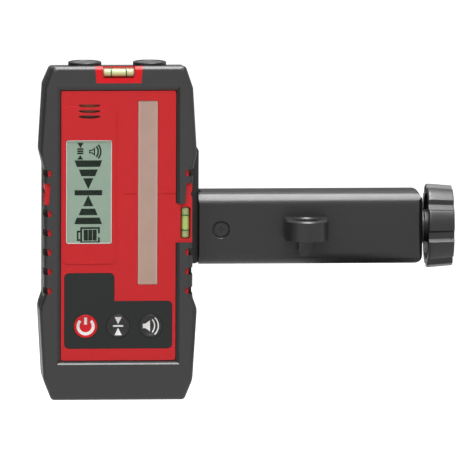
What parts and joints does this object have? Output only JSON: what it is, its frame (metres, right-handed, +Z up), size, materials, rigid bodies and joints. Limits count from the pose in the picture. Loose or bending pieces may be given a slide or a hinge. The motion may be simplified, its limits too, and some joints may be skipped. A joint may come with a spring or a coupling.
{
  "type": "laser receiver with staff clamp",
  "caption": "Laser level receiver with display, detection window and keypad in a rubber-edged case, on a clamp arm whose screw-driven jaw grips a levelling staff.",
  "frame": {"origin": "staff's corner at grade: on the fixed jaw pad's face, on the arm's rear face, level with the receiver's grade line", "axes": "+X along the clamp arm towards the knob, +Y backwards out of the clamp, +Z up; the display faces -Y"},
  "size_m": [0.2118, 0.07, 0.171],
  "materials": {
    "red_shell": "moulded red plastic, fine satin",
    "black_rubber": "overmoulded dark grey rubber",
    "dark_shell": "moulded dark grey plastic",
    "seal_rubber": "soft black rubber",
    "steel": "plated steel",
    "display_window": "clear window",
    "lcd_glass": "grey-green liquid crystal display",
    "inner_plastic": "black plastic",
    "circuit_board": "green circuit board",
    "detection_window": "tinted filter plastic",
    "diode_package": "black package",
    "keypad_field": "matt dark film",
    "key_red": "red moulded key",
    "key_black": "black moulded key",
    "switch_body": "dome switch",
    "vial_clear": "clear acrylic",
    "vial_fluid": "yellow-green fluid",
    "magnet_cup": "black steel cup",
    "magnet": "plated magnet",
    "cell_wrap": "plain dark sleeve",
    "contact_spring": "spring steel",
    "brass": "turned brass",
    "clamp_plastic": "fibre-filled dark grey plastic",
    "guide_metal": "dark coated steel",
    "bearing_plastic": "natural bearing plastic",
    "dark_screw": "black oxide steel",
    "knob_plastic": "dark grey moulded plastic"
  },
  "bodies": {
    "receiver": {"front_case": "red_shell", "front_bumper": "black_rubber", "rear_case": "dark_shell", "case_gasket": "seal_rubber", "case_screws": "steel", "lcd_lens": "display_window", "lcd_panel": "lcd_glass", "lcd_frame": "inner_plastic", "main_board": "circuit_board", "sensor_window": "detection_window", "sensor_board": "circuit_board", "photodiodes": "diode_package", "keypad_plate": "keypad_field", "key_switches": "switch_body", "buzzer": "inner_plastic", "top_vial": "vial_clear", "top_vial_fluid": "vial_fluid", "side_vial": "vial_clear", "side_vial_fluid": "vial_fluid", "magnet_cups": "magnet_cup", "magnet_discs": "magnet", "door_pin": "steel", "door_seal": "seal_rubber", "batteries": "cell_wrap", "battery_contacts": "contact_spring", "clamp_insert": "brass", "clamp_arm": "clamp_plastic", "guide_plate": "guide_metal", "guide_screws": "steel", "fixed_jaw_pad": "seal_rubber", "thrust_washer": "guide_metal", "end_bearing": "bearing_plastic", "bearing_screw": "dark_screw", "round_vial": "vial_clear", "round_vial_fluid": "vial_fluid"},
    "power_key": {"power_key": "key_red"},
    "band_key": {"band_key": "key_black"},
    "volume_key": {"volume_key": "key_black"},
    "battery_door": {"battery_door": "dark_shell"},
    "clamp_knob": {"clamp_knob": "knob_plastic", "knob_cap": "knob_plastic", "spindle": "steel", "spindle_clip": "contact_spring"},
    "sliding_jaw": {"sliding_jaw": "clamp_plastic", "sliding_jaw_pad": "seal_rubber", "jaw_nut": "brass"},
    "captive_washer": {"captive_washer": "steel"},
    "captive_screw": {"captive_screw": "steel", "captive_knob": "knob_plastic"}
  },
  "joints": [
    {"name": "power_press", "type": "slide", "parent": "receiver", "child": "power_key", "axis": [0, 1, 0], "range_m": [0, 0.0007], "stiffness_N_per_m": 600},
    {"name": "band_press", "type": "slide", "parent": "receiver", "child": "band_key", "axis": [0, 1, 0], "range_m": [0, 0.0007], "stiffness_N_per_m": 600},
    {"name": "volume_press", "type": "slide", "parent": "receiver", "child": "volume_key", "axis": [0, 1, 0], "range_m": [0, 0.0007], "stiffness_N_per_m": 600},
    {"name": "door_swing", "type": "hinge", "parent": "receiver", "child": "battery_door", "pos_m": [-0.052, -0.0175, -0.0989], "axis": [-1, 0, 0], "range_deg": [0, 90]},
    {"name": "knob_spin", "type": "hinge", "parent": "receiver", "child": "clamp_knob", "pos_m": [0.11, -0.012, -0.021], "axis": [1, 0, 0], "range_deg": [-2880, 1800]},
    {"name": "jaw_slide", "type": "slide", "parent": "receiver", "child": "sliding_jaw", "axis": [1, 0, 0], "range_m": [-0.032, 0.02]},
    {"name": "captive_back_out", "type": "slide", "parent": "receiver", "child": "captive_washer", "axis": [0, 1, 0], "range_m": [0, 0.006]},
    {"name": "captive_spin", "type": "hinge", "parent": "captive_washer", "child": "captive_screw", "pos_m": [-0.052, -0.009, -0.009], "axis": [0, 1, 0], "range_deg": [0, 2700]}
  ],
  "couplings": [
    {"joint": "jaw_slide", "follows": "knob_spin", "m_per_rad": 0.0006366},
    {"joint": "captive_back_out", "follows": "captive_spin", "m_per_rad": 0.0001273}
  ]
}
